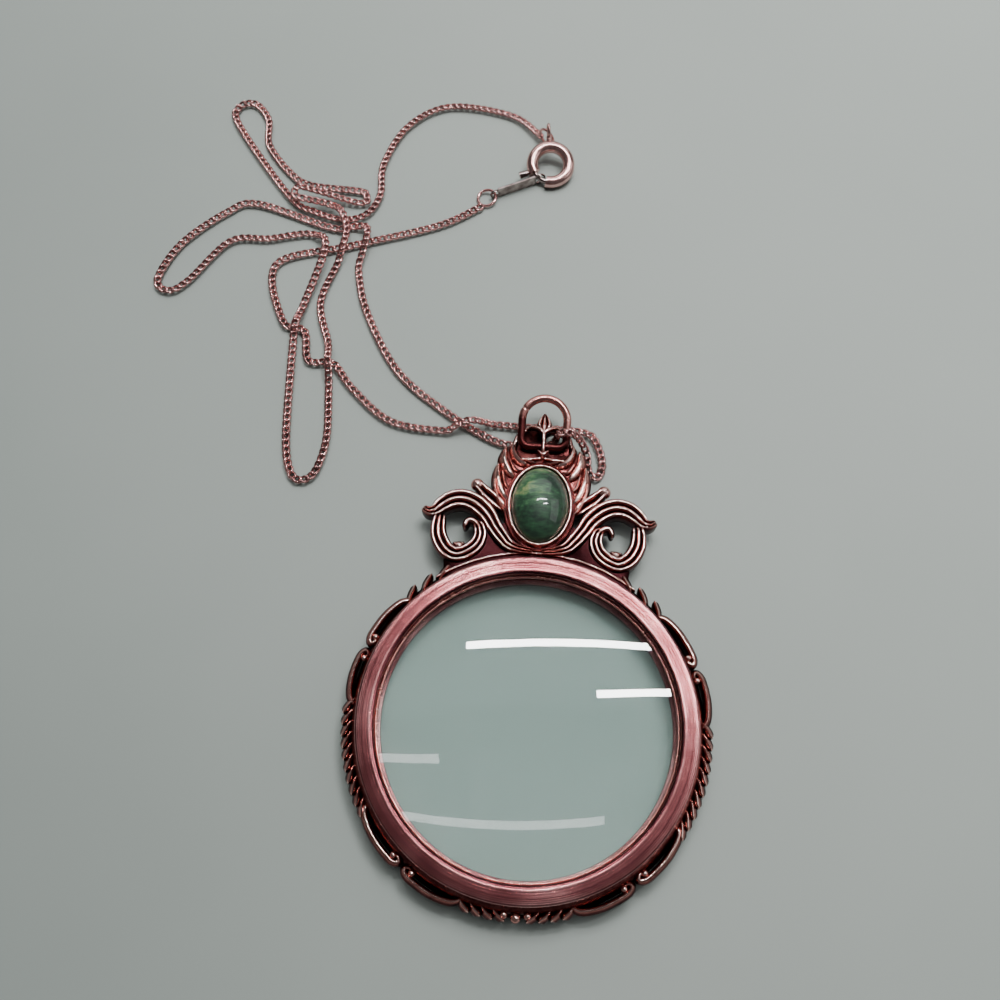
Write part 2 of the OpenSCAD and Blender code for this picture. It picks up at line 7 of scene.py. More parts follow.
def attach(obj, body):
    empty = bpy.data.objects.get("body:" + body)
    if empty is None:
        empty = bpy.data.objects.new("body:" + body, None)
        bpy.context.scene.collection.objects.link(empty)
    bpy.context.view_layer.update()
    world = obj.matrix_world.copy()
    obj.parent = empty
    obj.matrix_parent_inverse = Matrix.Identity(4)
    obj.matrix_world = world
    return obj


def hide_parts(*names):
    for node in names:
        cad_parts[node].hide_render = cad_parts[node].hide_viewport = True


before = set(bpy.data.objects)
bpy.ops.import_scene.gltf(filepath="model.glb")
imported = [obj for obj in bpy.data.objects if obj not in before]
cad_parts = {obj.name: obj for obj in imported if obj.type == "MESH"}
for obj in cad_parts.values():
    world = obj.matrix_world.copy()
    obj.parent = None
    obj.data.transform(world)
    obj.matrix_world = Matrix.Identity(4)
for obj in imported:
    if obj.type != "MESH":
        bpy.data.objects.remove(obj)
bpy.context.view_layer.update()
mm = 0.001  # the tables below are in millimetres


# Camera

view = {"at": (-2.12, -21.95, 141.0), "tilt": 21.6, "lean": 4.0, "lens": 36.0}  # angles in degrees


def makeCamera():
    # It looks down, tilted towards the crown, and is turned so that the pendant's axis leans to the right
    tilt, lean = math.radians(view["tilt"]), math.radians(view["lean"])
    right = (math.cos(lean), math.sin(lean), 0)
    up = (-math.sin(lean) * math.cos(tilt), math.cos(lean) * math.cos(tilt), math.sin(tilt))
    back = (math.sin(lean) * math.sin(tilt), -math.cos(lean) * math.sin(tilt), math.cos(tilt))
    turn = Matrix((right, up, back)).transposed().to_4x4()
    data = bpy.data.cameras.new("camera")
    data.lens, data.sensor_width, data.clip_start = view["lens"], 36, 0.005
    camera = bpy.data.objects.new("camera", data)
    camera.matrix_world = Matrix.Translation([c * mm for c in view["at"]]) @ turn
    bpy.context.scene.collection.objects.link(camera)
    bpy.context.scene.camera = camera


makeCamera()
print("camera placed")


# Shapes

class Shape:
    # Closed grids for one mesh: points, four-cornered faces, end faces, and each point's polish, with
    # painted shade on a few parts
    def __init__(self):
        self.points, self.quads, self.ends, self.worn, self.count = [], [], [], [], 0

    def add(self, grid, worn=0.6, ring=False):
        # grid is rows x columns x 3, or many such grids. Its columns close on themselves. Its rows close
        # too for a ring, or end in flat faces. A grid whose volume comes out negative is turned round.
        grid = np.asarray(grid, float)
        grids = grid[None] if grid.ndim == 3 else grid
        many, rows, cols = grids.shape[:3]
        i = np.arange(rows if ring else rows - 1)[:, None]
        j = np.arange(cols)[None]
        k, n = (i + 1) % rows, (j + 1) % cols
        quads = np.stack([i * cols + j, i * cols + n, k * cols + n, k * cols + j], -1).reshape(-1, 4)
        ends = [] if ring else [np.arange(cols)[::-1], np.arange(cols) + (rows - 1) * cols]
        first = grids[0].reshape(-1, 3)
        corners = np.vstack([quads[:, [0, 1, 2]], quads[:, [0, 2, 3]]]
                            + [np.stack([np.full(cols - 2, e[0]), e[1:-1], e[2:]], 1) for e in ends])
        a, b, c = (first[corners[:, x]] for x in range(3))
        if np.einsum("ij,ij->", a, np.cross(b, c)) < 0:
            quads, ends = quads[:, ::-1], [e[::-1] for e in ends]
        starts = self.count + np.arange(many) * rows * cols
        self.quads.append((quads[None] + starts[:, None, None]).reshape(-1, 4))
        self.ends += [e + s for s in starts for e in ends]
        self.points.append(grids.reshape(-1, 3))
        self.worn.append(np.broadcast_to(worn, grids.shape[:3]).reshape(-1).astype(float))
        self.count += many * rows * cols
        return self

    def both(self, grid, worn=0.6, ring=False):
        # The same grid on both sides of the pendant's axis
        self.add(grid, worn, ring)
        return self.add(np.asarray(grid) * np.array([-1.0, 1, 1]), worn, ring)


def makePiece(name, shape, finish, node, body="necklace", sharp=40):
    # Mesh from the shape's arrays, smooth but for edges sharper than the given angle in degrees
    loops = np.concatenate([q.reshape(-1) for q in shape.quads] + list(shape.ends)).astype(np.int32)
    fours = [4] * sum(len(q) for q in shape.quads)
    sizes = np.array(fours + [len(e) for e in shape.ends], np.int32)
    mesh = bpy.data.meshes.new(name)
    mesh.vertices.add(shape.count)
    mesh.vertices.foreach_set("co", (np.concatenate(shape.points) * mm).astype(np.float32).ravel())
    mesh.loops.add(len(loops))
    mesh.loops.foreach_set("vertex_index", loops)
    mesh.polygons.add(len(sizes))
    mesh.polygons.foreach_set("loop_start", (np.cumsum(sizes) - sizes).astype(np.int32))
    mesh.polygons.foreach_set("use_smooth", np.ones(len(sizes), bool))
    mesh.update(calc_edges=True)
    worn = mesh.attributes.new("worn", "FLOAT", "POINT")
    worn.data.foreach_set("value", np.concatenate(shape.worn).astype(np.float32))
    mesh.set_sharp_from_angle(angle=math.radians(sharp))
    mesh.materials.append(finish)
    obj = bpy.data.objects.new(name, mesh)
    bpy.context.scene.collection.objects.link(obj)
    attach(obj, body)
    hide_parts(node)
    print("made", name, len(sizes), "faces")


def smoothPath(rows, steps):
    # Smooth curve through the rows. Each span is a cubic, and its slope at a row is half the way from the
    # row before to the row after.
    p = np.asarray(rows, float)
    q = np.vstack([p[:1], p, p[-1:]])
    a, b, c, d = (q[k:len(q) - 3 + k, None] for k in range(4))
    t = (np.arange(steps) / steps)[None, :, None]
    curve = (2 * b + (c - a) * t + (2 * a - 5 * b + 4 * c - d) * t ** 2
             + (3 * b - a - 3 * c + d) * t ** 3) / 2
    return np.vstack([curve.reshape(-1, p.shape[1]), p[-1:]])


def evenPath(path, spacing, start):
    # Points along a path at equal distances of arc length, near the spacing. The first and the last are
    # the start's length away from the path's ends.
    along = np.concatenate([[0], np.cumsum(np.linalg.norm(np.diff(path, axis=0), axis=1))])
    at = np.linspace(start, along[-1] - start, round((along[-1] - 2 * start) / spacing) + 1)
    return np.stack([np.interp(at, along, path[:, k]) for k in range(path.shape[1])], 1)


def unit(v):
    # Each vector divided by its length
    return v / np.maximum(np.linalg.norm(v, axis=-1, keepdims=True), 1e-12)


def headings(path, closed=False):
    # Unit vectors along a path: from the point before to the point after
    if closed:
        return unit(np.roll(path, -1, 0) - np.roll(path, 1, 0))
    return unit(np.vstack([path[1:], path[-1:]]) - np.vstack([path[:1], path[:-1]]))


def squareTo(ahead):
    # Two unit vectors square to each heading: a level one, and the one square to both
    side = unit(np.cross([0.0, 0, 1], ahead))
    return side, np.cross(ahead, side)


def spokes(side, up, sides):
    # Unit vectors round each point of a path, at equal angles: cosine times side plus sine times up
    turn = 2 * np.pi * np.arange(sides)[None, :, None] / sides
    return np.cos(turn) * side[:, None] + np.sin(turn) * up[:, None]


def tube(path, radius, sides):
    # Round section carried along the path, square to it, with a radius for each of its points
    side, up = squareTo(headings(path))
    return path[:, None] + radius[:, None, None] * spokes(side, up, sides)


def arc(middle, wire, start, stop, steps, sides):
    # Part of a ring about Z: wire of a round section, its centre at the middle radius, between two
    # angles in degrees
    a = np.radians(np.linspace(start, stop, steps))[:, None]
    b = 2 * np.pi * np.arange(sides)[None] / sides
    out = middle + wire * np.cos(b)
    return np.stack([out * np.cos(a), out * np.sin(a), wire * np.sin(b) + 0 * a], -1)


def turned(profile, steps=256):
    # A closed outline of radius and height, turned once about Z
    a = 2 * np.pi * np.arange(steps)[:, None] / steps
    r, z = np.asarray(profile, float).T
    return np.stack([r * np.cos(a), r * np.sin(a), z + 0 * a], -1)


def rounded(profile, radius, steps=4):
    # A closed outline with each corner replaced by a short curve that stays inside the two edges
    p = np.asarray(profile, float)
    before, after = np.roll(p, 1, 0) - p, np.roll(p, -1, 0) - p
    lb, la = np.linalg.norm(before, axis=1, keepdims=True), np.linalg.norm(after, axis=1, keepdims=True)
    cut = np.minimum(np.minimum(lb, la) * 0.45, radius)
    t = np.linspace(0, 1, steps)[None, :, None]
    s, e = (p + before / lb * cut)[:, None], (p + after / la * cut)[:, None]
    return ((1 - t) ** 2 * s + 2 * t * (1 - t) * p[:, None] + t * t * e).reshape(-1, 2)


def move(grid, matrix):
    # Every point of the grid turned and moved by the matrix
    m = np.array(matrix)
    return np.asarray(grid) @ m[:3, :3].T + m[:3, 3]


def band(rows, ridges=1, valley=0.45, steps=8, ends=(True, True), curve=0.8, crestAt=0.5, rub=2.5,
         samples=9):
    # Cast band. A row holds x, y, half width, underside and top. Across it the top is a row of round
    # ridges, a sine without its sign to the power curve, and each end is rounded off as a quarter circle
    # over its half width. crestAt moves the crest of a single ridge sideways: 0 is the right edge, 1 the
    # left. A small rub polishes more of the ridge than its crest.
    path = smoothPath(rows, steps)
    along = np.concatenate([[0], np.cumsum(np.linalg.norm(np.diff(path[:, :2], axis=0), axis=1))])
    ahead = headings(path[:, :2])
    side = np.stack([-ahead[:, 1], ahead[:, 0]], 1)
    half, low, top = path[:, 2], path[:, 3], path[:, 4]
    close = np.ones(len(path))
    for used, far in zip(ends, (along, along[-1] - along)):
        if used:
            close = np.minimum(close, np.sqrt(np.clip(1 - (1 - np.minimum(far / half, 1)) ** 2, 0.01, 1)))
    half, top = half * np.clip(close, 0.12, 1), low + (top - low) * (0.45 + 0.55 * close)
    dip = np.minimum(valley, 0.6 * (top - low))
    t = np.linspace(1, -1, ridges * (samples - 1) + 1)
    share = ((t + 1) / 2) ** (math.log(0.5) / math.log(crestAt))
    crest = np.abs(np.sin(np.pi * ridges * share)) ** curve
    across = np.concatenate([[-0.9, 0.9, 0.98], t, [-0.98]])
    wall = 0.35 * (top - low)[:, None]
    heights = np.hstack([low[:, None], low[:, None], low[:, None] + wall,
                         top[:, None] - dip[:, None] * (1 - crest)[None], low[:, None] + wall])
    flat = path[:, None, :2] + side[:, None] * (half[:, None] * across[None])[..., None]
    polish = np.concatenate([[0, 0, 0.1], 0.08 + 0.92 * crest ** rub, [0.1]])
    worn = polish[None] * (0.6 + 0.4 * close)[:, None]
    return np.concatenate([flat, heights[..., None]], -1), worn


def ball(centre, radius, high=None, rows=10, sides=16):
    # Ball, or a flatter one of its own height: rings of latitude from pole to pole, polished above
    a = np.radians(np.linspace(-86, 86, rows))[:, None]
    b = 2 * np.pi * np.arange(sides)[None] / sides
    grid = np.stack([radius * np.cos(a) * np.cos(b), radius * np.cos(a) * np.sin(b),
                     (high or radius) * np.sin(a) + 0 * b], -1)
    return grid + np.asarray(centre, float), 0.35 + 0.65 * np.clip(np.sin(a) + 0 * b, 0, 1)


def atHeights(outlines):
    # Grid from flat outlines of as many points, each with its height
    return np.stack([np.hstack([p, np.full((len(p), 1), z)]) for p, z in outlines])


def plate(outline, low, high, edge):
    # Flat plate with a small bevel round its top edge: each corner moves the edge's width inwards
    p = np.asarray(outline, float)
    inward = p.mean(0) - p
    inset = p + inward * (edge / np.maximum(np.linalg.norm(inward, axis=1, keepdims=True), 1e-6))
    return atHeights([(p, low), (p, high - edge), (inset, high)])


def pierced(outline, middle, reach, low, high, sides=40, finer=24):
    # Flat plate with an oval hole. The hole's points are at equal steps of the oval, and the outline's
    # points are the ones that the hole's middle sees at the same angles.
    corners = np.asarray(outline, float)
    edges = zip(corners, np.roll(corners, -1, 0))
    dense = np.concatenate([np.linspace(start, stop, finer, endpoint=False) for start, stop in edges])
    angle = np.arctan2(*(dense - middle).T[::-1])
    order = np.argsort(angle)
    angle, dense = angle[order], dense[order]
    turn = 2 * np.pi * np.arange(sides) / sides - np.pi
    outer = np.stack([np.interp(turn, angle, dense[:, k], period=2 * np.pi) for k in range(2)], 1)
    inner = middle + np.stack([reach[0] * np.cos(turn), reach[1] * np.sin(turn)], 1)
    return atHeights([(outer, low), (outer, high), (inner, high), (inner, low)])


def ovals(rows, sides=128, centre=(0, 0)):
    # Rings of ovals about a centre: cosine times one half axis, sine times the other. A row holds both
    # half axes and a height.
    a = 2 * np.pi * np.arange(sides)[None] / sides
    r = np.asarray(rows, float)
    x, y = centre[0] + r[:, :1] * np.cos(a), centre[1] + r[:, 1:2] * np.sin(a)
    return np.stack([x, y, r[:, 2:] + 0 * a], -1)


# Finishes

# Colours of each finish from its darkest place to its brightest
castTones = [(0, (0.02, 0.005, 0.006)), (0.25, (0.12, 0.028, 0.028)), (0.55, (0.42, 0.14, 0.125)),
             (0.82, (0.82, 0.42, 0.37)), (1, (0.97, 0.68, 0.62))]
turnedTones = [(0, (0.05, 0.012, 0.014)), (0.35, (0.15, 0.038, 0.045)), (0.62, (0.34, 0.105, 0.112)),
               (0.95, (0.82, 0.44, 0.43))]
stoneTones = [(0.2, (0.004, 0.014, 0.008)), (0.4, (0.014, 0.05, 0.022)), (0.55, (0.035, 0.1, 0.04)),
              (0.72, (0.16, 0.19, 0.075)), (0.9, (0.36, 0.33, 0.15))]
steelTones = [(0.3, (0.2, 0.14, 0.135)), (0.7, (0.54, 0.45, 0.43))]
stoneCloud = (-1.6, 34.2, 5.5)  # middle of the stone's tan cloud


class Value:
    # A socket in a material. Python's operators on it add Math nodes.
    def __init__(self, finish, socket):
        self.finish, self.socket = finish, socket

    def maths(self, operation, *values):
        return self.finish.add("ShaderNodeMath", {"operation": operation}, dict(enumerate(values)))

    def __add__(self, other):
        return self.maths("ADD", self, other)

    def __radd__(self, other):
        return self.maths("ADD", other, self)

    def __sub__(self, other):
        return self.maths("SUBTRACT", self, other)

    def __rsub__(self, other):
        return self.maths("SUBTRACT", other, self)

    def __mul__(self, other):
        return self.maths("MULTIPLY", self, other)

    def __rmul__(self, other):
        return self.maths("MULTIPLY", other, self)

    def __pow__(self, other):
        return self.maths("POWER", self, other)

    def clamp(self):
        return self.finish.add("ShaderNodeClamp", {}, {"Value": self, "Min": 0.0, "Max": 1.0})


class Finish:
    # A material in the making. add makes any node from its type, its settings and its sockets.
    def __init__(self, name):
        self.material = bpy.data.materials.new(name)
        self.material.use_nodes = True
        self.tree = self.material.node_tree
        self.shader = self.tree.nodes["Principled BSDF"]

    def add(self, kind, settings, sockets, output=0):
        node = self.tree.nodes.new(kind)
        for key, value in settings.items():
            if key == "stops":
                ramp = node.color_ramp
                while len(ramp.elements) < len(value):
                    ramp.elements.new(0.5)
                for element, (place, colour) in zip(ramp.elements, value):
                    element.position, element.color = place, (*colour, 1)
            else:
                setattr(node, key, value)
        self.fill(node, sockets)
        return Value(self, node.outputs[output])

    def fill(self, node, sockets):
        for key, value in sockets.items():
            if isinstance(value, Value):
                self.tree.links.new(value.socket, node.inputs[key])
            else:
                node.inputs[key].default_value = value

    def place(self):
        return self.add("ShaderNodeTexCoord", {}, {}, "Object")

    def parts(self):
        # x, y and z of the place, in metres
        node = self.tree.nodes.new("ShaderNodeSeparateXYZ")
        self.fill(node, {0: self.place()})
        return [Value(self, socket) for socket in node.outputs]

    def noise(self, scale, detail, vector=None, rough=0.5):
        return self.add("ShaderNodeTexNoise", {}, {"Vector": vector or self.place(), "Scale": scale,
                                                   "Detail": detail, "Roughness": rough})

    def worn(self):
        # How polished the mesh says that the surface is, with painted shade where the mesh makes a part
        # dark
        return self.add("ShaderNodeAttribute", {"attribute_name": "worn"}, {}, "Fac")

    def ramp(self, factor, stops):
        return self.add("ShaderNodeValToRGB", {"stops": stops}, {"Fac": factor})

    def bump(self, height, strength, distance):
        sockets = {"Height": height, "Strength": strength, "Distance": distance}
        return self.add("ShaderNodeBump", {}, sockets)


def castCopper():
    # Antique copper plate: nearly black in the hollows, maroon on the flanks, pink where it is rubbed. Its
    # dark end is also painted shade on the web under the arms and on the eyes' floors.
    f = Finish("castCopper")
    rub = (f.worn() + (f.noise(520, 4) - 0.5) * 0.5 + (f.noise(1900, 2) - 0.5) * 0.28).clamp()
    colour = f.ramp(rub, castTones)
    rough = 0.36 - rub * 0.17 + (f.noise(1400, 2) - 0.5) * 0.16
    f.fill(f.shader, {"Base Color": colour, "Metallic": 1.0, "Roughness": rough,
                      "Normal": f.bump(f.noise(1600, 3), 0.35, 0.00012)})
    return f.material


def turnedCopper():
    # Plated bezel with fine turned lines: noise of the radius and of a little of the height, over
    # wide patches of tarnish
    f = Finish("turnedCopper")
    x, y, z = f.parts()
    radius = (x * x + y * y) ** 0.5
    line = f.add("ShaderNodeCombineXYZ", {}, {0: radius, 1: z * 0.6, 2: 0.0})
    lines = f.noise(5200, 2, line)
    slow = f.noise(1500, 1, line)
    patch = f.noise(130, 4)
    rub = (0.57 + (lines - 0.5) * 1.5 + (patch - 0.5) * 0.7).clamp()
    f.fill(f.shader, {"Base Color": f.ramp(rub, turnedTones),
                      "Metallic": 1.0,
                      "Roughness": 0.22 + (patch - 0.5) * 0.16 + (lines - 0.5) * 0.12,
                      "Normal": f.bump(lines * 0.6 + slow * 0.4, 0.7, 0.0001)})
    return f.material


def roseWire(name, colour, dark, rough):
    # Rose plate on drawn wire: tarnish in patches, and darker wherever the mesh's wear-and-shade value is
    # low, which on the bail is painted shade
    f = Finish(name)
    tarnish = f.noise(700, 4) * 0.7 + f.noise(2400, 2) * 0.3
    shine = (f.worn() * 0.75 + (tarnish - 0.5) * 1.1).clamp()
    high = tuple(min(1, c * 1.3) for c in colour)
    f.fill(f.shader, {"Base Color": f.ramp(shine, [(0.1, dark), (0.5, colour), (0.85, high)]),
                      "Metallic": 1.0,
                      "Roughness": rough + 0.1 - shine * 0.14,
                      "Normal": f.bump(f.noise(2600, 2), 0.2, 0.00005)})
    return f.material


def lensGlass():
    # Clear glass that bends and mirrors. Shadow rays pass straight through it, tinted, so that light
    # reaches the table behind it.
    f = Finish("lensGlass")
    f.fill(f.shader, {"Base Color": (0.955, 0.975, 0.965, 1), "Roughness": 0.0, "IOR": 1.5,
                      "Transmission Weight": 1.0})
    clear = f.add("ShaderNodeBsdfTransparent", {}, {"Color": (0.69, 0.8, 0.79, 1)})
    shadow = f.add("ShaderNodeLightPath", {}, {}, "Is Shadow Ray")
    mixed = f.add("ShaderNodeMixShader", {}, {0: shadow, 1: Value(f, f.shader.outputs[0]), 2: clear})
    f.tree.links.new(mixed.socket, f.tree.nodes["Material Output"].inputs["Surface"])
    return f.material


def greenStone():
    # Dark green stone: fine fibres across it, a tan cloud at the upper left, a little lighter below
    f = Finish("greenStone")
    across = f.add("ShaderNodeMapping", {}, {"Vector": f.place(), "Rotation": (0, 0, -0.2),
                                             "Scale": (0.3, 1, 1)})
    fibres = f.noise(1700, 5, across, 0.7)
    clouds = f.noise(330, 3, across)
    cloudAt = [c * mm for c in stoneCloud]
    away = f.add("ShaderNodeVectorMath", {"operation": "DISTANCE"}, {0: f.place(), 1: cloudAt}, "Value")
    tan = (1.15 - away * 290.0 + (clouds - 0.5) * 1.6 + (fibres - 0.5) * 0.9).clamp()
    below = ((cloudAt[1] - f.parts()[1]) * 90.0).clamp()
    tone = (fibres * 0.75 + (clouds - 0.5) * 0.5 + tan * 0.36 + below * 0.04 - 0.1).clamp()
    f.fill(f.shader, {"Base Color": f.ramp(tone, stoneTones), "Roughness": 0.55, "IOR": 1.5,
                      "Coat Weight": 1.0, "Coat Roughness": 0.05,
                      "Normal": f.bump(fibres, 0.08, 0.00005)})
    return f.material


def brightSteel():
    # Plated steel: grey, with darker and redder clouds, and roughness that varies on its own
    f = Finish("brightSteel")
    f.fill(f.shader, {"Base Color": f.ramp(f.noise(900, 3), steelTones),
                      "Metallic": 1.0,
                      "Roughness": 0.16 + (f.noise(1500, 2) - 0.5) * 0.12})
    return f.material


castFinish, turnedFinish = castCopper(), turnedCopper()
# Each wire's colour where it shines, its tarnish, and how rough it is
wireFinish = roseWire("roseWire", (0.6, 0.27, 0.24), (0.09, 0.022, 0.022), 0.24)
chainFinish = roseWire("chainRose", (0.74, 0.39, 0.375), (0.09, 0.026, 0.026), 0.17)
claspFinish = roseWire("claspRose", (0.74, 0.45, 0.42), (0.3, 0.14, 0.13), 0.2)
glassFinish, stoneFinish, steelFinish = lensGlass(), greenStone(), brightSteel()
print("finishes made")


# Bezel, lens and retaining ring

lens = {"radius": 20.5, "edge": 2.6, "dome": 1.4, "gap": 0.1, "low": 0.55}
bezel = {"width": 2.55, "high": 6.0, "chamfer": 0.2, "groove": 0.6, "ledge": 0.8, "wire": 0.2, "split": 4,
         "splitAt": 253}
cast = {"back": 1.7, "hoopHigh": 2.1, "hoopWide": 1.3, "borderWide": 1.5, "borderHigh": 2.3, "strand": 1.05,
        "flange": 0.55, "seat": 0.1}

bore = lens["radius"] + lens["gap"]
bezelOut = bore + bezel["width"]
grooveAt = bezelOut - bezel["groove"]
hoopIn = grooveAt + cast["seat"]
hoopOut = hoopIn + cast["hoopWide"]
hoopTop = cast["back"] + cast["hoopHigh"]
lensLow = lens["low"] + lens["dome"]
lensFace = lensLow + lens["edge"]
lensSlope = 2 * lens["radius"] * lens["dome"] / (lens["radius"] ** 2 + lens["dome"] ** 2)
lensSeat = lensLow - cast["seat"] - bezel["ledge"] * lensSlope


def domeRows(radius, high, steps):
    # Height of a shallow spherical dome over rings that shrink towards its axis
    bulge = (radius ** 2 + high ** 2) / (2 * high)
    reach = math.asin(radius / bulge) * np.linspace(1, 0.01, steps)
    return np.stack([bulge * np.sin(reach), bulge * (np.cos(reach) - 1) + high], 1)


def makeBezel():
    # One turned outline: foot, groove for the casting, outer wall, face, chamfered mouth, the lens's ledge
    inner, high, chamfer = bore - bezel["ledge"], bezel["high"], bezel["chamfer"]
    lip = grooveAt + bezel["groove"] * 0.8
    lipTop = cast["back"] - cast["seat"]
    grooveTop = hoopTop + cast["seat"]
    outline = [
        (inner, 0.3), (inner + 0.3, 0), (grooveAt - 0.3, 0), (lip, lipTop - 0.6), (lip, lipTop),
        (grooveAt, lipTop), (grooveAt, grooveTop), (bezelOut, grooveTop), (bezelOut, high - 0.2),
        (bezelOut - 0.2, high), (bore + chamfer, high), (bore, high - chamfer), (bore, lensSeat),
        (inner, lensSeat)]
    shape = Shape().add(turned(rounded(outline, 0.14), 360), 0.6, ring=True)
    makePiece("turned_bezel", shape, turnedFinish, "bezel", sharp=60)


def makeLens():
    # A dome below, a plain edge, and the same dome above
    dome = domeRows(lens["radius"], lens["dome"], 24)
    below = [(r, r, lensLow - h) for r, h in dome[::-1]]
    edge = [(r, r, z) for r, z in [(lens["radius"] - 0.05, lensLow), (lens["radius"], lensLow + 0.06),
                                   (lens["radius"], lensFace - 0.06)]]
    above = [(r, r, lensFace + h) for r, h in dome]
    shape = Shape().add(ovals(below + edge + above, 192))
    makePiece("glass_lens", shape, glassFinish, "lens", sharp=30)


def makeRetainer():
    # Wire ring inside the bore, with its split at the lower left
    wire, splitAt = bezel["wire"], bezel["splitAt"]
    grid = arc(bore - wire - 0.03, wire - 0.01, splitAt + bezel["split"], splitAt + 360, 300, 12)
    high = lensFace + wire * (1 + 2 * lensSlope) + 0.05
    shape = Shape().add(grid + [0, 0, high], 0.8)
    makePiece("retaining_ring", shape, wireFinish, "lens_retainer")


makeBezel()
makeLens()
makeRetainer()


# Casting and stone

crown = {"armReach": 17.2, "armRise": 8.15, "armWide": 3.1, "armHigh": 2.6, "voluteWide": 2.5,
         "webThick": 1.1, "topReach": 7.0, "topRise": 15.3, "stemHigh": 2.6, "stemThick": 0.6}
stone = {"wide": 8.5, "long": 11.8, "dome": 2.7, "rimWide": 0.5, "rimHigh": 2.9, "gap": 0.1, "away": 1.25,
         "seat": 0.9}
bail = {"wide": 8.1, "long": 8.8, "wire": 1.24, "tilt": 14.0, "corner": 1.3, "cut": 152.0, "gap": 0.16,
        "at": 0.65}

back = cast["back"]
rimIn = np.array([stone["wide"], stone["long"]]) / 2 + stone["gap"]
rimOut = rimIn + stone["rimWide"]
stoneY = hoopOut + stone["away"] + rimOut[1]
seatZ = back + stone["seat"]
# height of the middle of the bail's lower bar, which lies under the stem
bailLow = back + crown["stemHigh"] - crown["stemThick"] - bail["gap"] - bail["wire"] / 2


def topAt(u, v):
    # Place on the crown: shares of its half width and of its height above the stone's middle
    return np.array([u * crown["topReach"], stoneY + v * crown["topRise"]])


def armAt(u, v):
    # Place on a side arm: shares of the arm's reach and of its rise above the hoop
    return np.array([u * crown["armReach"], hoopOut + v * crown["armRise"]])


def borderAt(turn, v):
    # Place on the border: degrees round the hoop from the crown, and a share of the border's width
    a = math.radians(turn)
    return (hoopOut + v * cast["borderWide"]) * np.array([math.sin(a), math.cos(a)])


def rowsAt(placeAt, rows, wide, low, high):
    # Rows for a band of one height: each row's place, its share of the half width, underside and top
    return [(*placeAt(u, v), w * wide, low, high) for u, v, w in rows]


def makeBorder(shape):
    # C strands, leaves and beads round the hoop, and their mirror images
    high = back + cast["borderHigh"]
    wide = cast["strand"] / 2

    def strand(opens, curls):
        # C-shaped strand: it leaves the hoop, runs along it and ends in a hook
        s = math.copysign(1, curls - opens)
        rows = [(opens, -0.15, 0.8), (opens + s * 3, 0.45, 1), (opens + (curls - opens) * 0.45, 0.73, 1),
                (curls - s * 4.5, 0.75, 1), (curls - s * 1.7, 0.58, 0.95), (curls - s * 0.9, 0.22, 0.85),
                (curls - s * 2.1, -0.06, 0.8), (curls - s * 3.4, 0.06, 0.8)]
        path = rowsAt(borderAt, rows, wide, back + 0.03, high)
        shape.both(*band(path, 1, 0.75, crestAt=0.5 - 0.14 * s))
        shape.both(*ball((*borderAt(curls - s * 3.7, 0.2), high - 0.5), 0.5))

    def leaf(root, turn, reach, fat):
        # Drop-shaped lobe that leans round the hoop and rises to its tip
        rows = [(root, -0.2, 0.7), (root + turn * 0.4, reach * 0.4, 1),
                (root + turn * 0.8, reach * 0.85, 1), (root + turn, reach + 0.12, 0.45)]
        tops = [high - 0.3 + 0.3 * min(1, v + 0.4) for t, v, w in rows]
        path = [(*borderAt(t, v), fat * w, back + 0.05, top) for (t, v, w), top in zip(rows, tops)]
        shape.both(*band(path, 1, 0.9, curve=1.2, crestAt=0.5 - 0.12 * math.copysign(1, turn)))

    for opens, curls in [(47, 68), (88, 68.5), (120, 141.5), (163, 142)]:
        strand(opens, curls)
    for root in (36, 42.5, 49):
        leaf(root, -6.4, 0.78, 0.5)
    for root in np.arange(85, 118.5, 3.6):
        leaf(root, 5.6, 0.72, 0.56)
    for root in (161.6, 165.2, 168.8, 172.4):
        leaf(root, 4.4, 0.6, 0.52)
    shape.both(*ball((*borderAt(176.4, 0.15), high - 0.5), 0.5))
    shape.add(*ball((*borderAt(180, 0.3), high - 0.7), 0.7))


def makeHoop(shape):
    # Turned hoop with a flange at its back, brighter towards its top
    flange = hoopOut + cast["flange"]
    outline = [(hoopIn, back), (flange, back), (flange, back + 0.6), (hoopOut, back + 0.9),
               (hoopOut, hoopTop - 0.35), (hoopOut - 0.4, hoopTop), (hoopIn, hoopTop)]
    grid = turned(rounded(outline, 0.15))
    up = np.clip((grid[..., 2] - back) / cast["hoopHigh"], 0, 1)
    shape.add(grid, 0.05 + 0.3 * up ** 3, ring=True)


